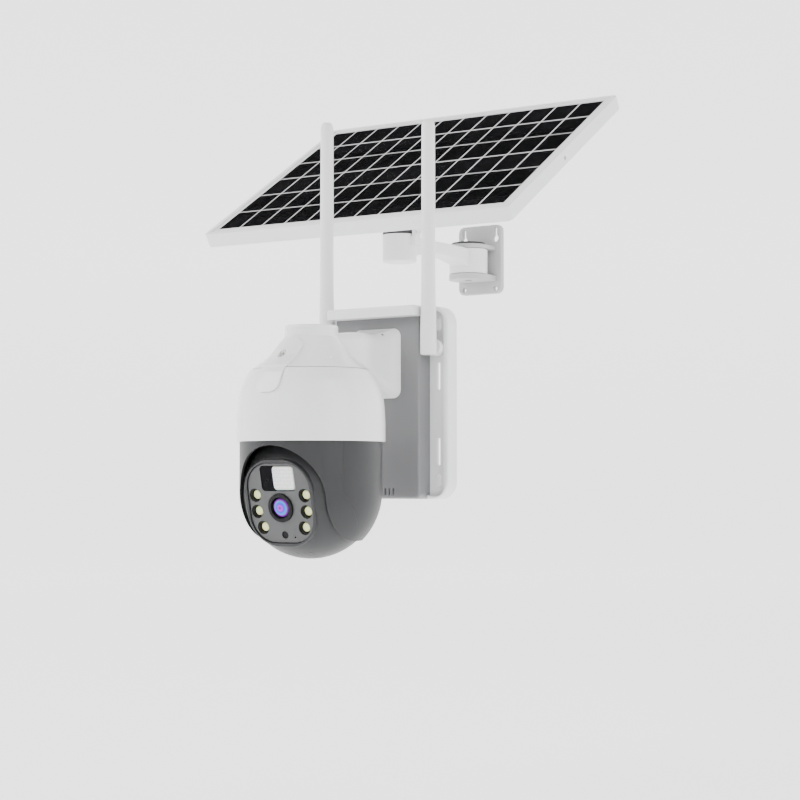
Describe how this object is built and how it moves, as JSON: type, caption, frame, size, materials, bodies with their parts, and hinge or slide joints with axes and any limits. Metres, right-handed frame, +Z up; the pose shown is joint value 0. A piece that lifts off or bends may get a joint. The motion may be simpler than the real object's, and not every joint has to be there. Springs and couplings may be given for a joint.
{
  "type": "solar security camera",
  "caption": "Pan and tilt dome camera on a flat wall-mounted battery box with two antennas, and a separate solar panel on a swivelling wall bracket.",
  "frame": {"origin": "middle of the battery box's back face, where it meets the wall", "axes": "+Y out of the back into the wall, the camera looks towards -Y, +Z up"},
  "size_m": [0.3292, 0.4644, 0.4174],
  "materials": {
    "white_plastic": "glossy white moulded ABS",
    "grey_cover": "fine-textured mid grey ABS",
    "black_rubber": "soft black rubber",
    "zinc_steel": "zinc-plated steel",
    "cell_wrap": "blue shrink wrap",
    "black_plastic": "black moulded nylon",
    "circuit_board": "green solder mask",
    "bracket_white": "white powder-coated cast aluminium",
    "antenna_white": "satin white sleeve",
    "grey_shell": "satin dark grey ABS",
    "motor_can": "drawn steel can",
    "plate_grey": "satin grey polycarbonate",
    "reflector": "glossy black cup",
    "lamp_yellow": "pale yellow-green lamp lens",
    "lens_black": "black anodised",
    "lens_glass": "coated optical glass",
    "pir_white": "milky polyethylene",
    "panel_white": "white coated frame",
    "backsheet_white": "white backsheet",
    "solar_cell": "dark monocrystalline silicon",
    "panel_film": "clear laminate face"
  },
  "bodies": {
    "mount": {"box_back": "white_plastic", "box_front": "grey_cover", "box_gasket": "black_rubber", "box_screws": "zinc_steel", "visor": "white_plastic", "battery_cells": "cell_wrap", "battery_holder": "black_plastic", "power_board": "circuit_board", "solar_inlet": "black_rubber", "antenna_base_left": "white_plastic", "antenna_base_right": "white_plastic", "neck_arm": "white_plastic", "neck_cap": "white_plastic", "arm_screws": "zinc_steel", "tongue_screw": "zinc_steel", "dome_cap": "white_plastic", "cap_screws": "zinc_steel", "pan_base": "black_plastic", "pan_base_screws": "zinc_steel", "pan_bearing": "zinc_steel", "wall_plate": "bracket_white", "swivel_pin": "black_plastic"},
    "antenna_l": {"antenna_left": "antenna_white"},
    "antenna_r": {"antenna_right": "antenna_white"},
    "rotor": {"rotor_front": "grey_shell", "rotor_rear": "grey_shell", "rotor_deck": "black_plastic", "rotor_screws": "zinc_steel", "pan_motor": "motor_can", "hub_screw": "zinc_steel", "main_board": "circuit_board", "tilt_motor": "motor_can", "tilt_pin": "zinc_steel"},
    "lens_unit": {"module_front": "grey_shell", "module_rear": "grey_shell", "module_screws": "zinc_steel", "face_plate": "plate_grey", "led_board": "circuit_board", "led_cups": "reflector", "led_lamps": "lamp_yellow", "lens_ring": "lens_black", "lens_glass": "lens_glass", "lens_barrel": "lens_black", "sensor_board": "circuit_board", "pir_lens": "pir_white", "pir_sensor": "motor_can", "light_sensor": "lens_black"},
    "arm": {"panel_arm": "bracket_white", "lock_screw": "bracket_white"},
    "fork": {"tilt_fork": "black_plastic", "hinge_bolt": "zinc_steel"},
    "panel": {"mount_plate": "bracket_white", "mount_screws": "zinc_steel", "panel_frame": "panel_white", "panel_back": "panel_white", "panel_backsheet": "backsheet_white", "solar_cells": "solar_cell", "panel_glass": "panel_film", "junction_box": "black_plastic", "cable_gland": "black_plastic"}
  },
  "joints": [
    {"name": "pan", "type": "hinge", "parent": "mount", "child": "rotor", "pos_m": [0, -0.1095, -0.0693], "axis": [0, 0, 1], "range_deg": [-177.5, 177.5]},
    {"name": "tilt", "type": "hinge", "parent": "rotor", "child": "lens_unit", "pos_m": [0, -0.1095, -0.0693], "axis": [0.9986, 0.0523, 0], "range_deg": [-20, 77]},
    {"name": "antenna_left_hinge", "type": "hinge", "parent": "mount", "child": "antenna_l", "pos_m": [-0.0502, -0.0244, 0.0432], "axis": [0, -1, 0], "range_deg": [0, 90]},
    {"name": "antenna_right_hinge", "type": "hinge", "parent": "mount", "child": "antenna_r", "pos_m": [0.0502, -0.0244, 0.0432], "axis": [0, 1, 0], "range_deg": [0, 90]},
    {"name": "arm_swivel", "type": "hinge", "parent": "mount", "child": "arm", "pos_m": [-0.104, 0.273, 0.15], "axis": [0, 0, 1], "range_deg": [-20, 20]},
    {"name": "head_swivel", "type": "hinge", "parent": "arm", "child": "fork", "pos_m": [-0.09833, 0.14823, 0.165], "axis": [0, 0, 1], "range_deg": [-15, 15]},
    {"name": "panel_tilt", "type": "hinge", "parent": "fork", "child": "panel", "pos_m": [-0.09833, 0.14823, 0.185], "axis": [0.999, 0.0454, 0], "range_deg": [-20, 25]}
  ]
}
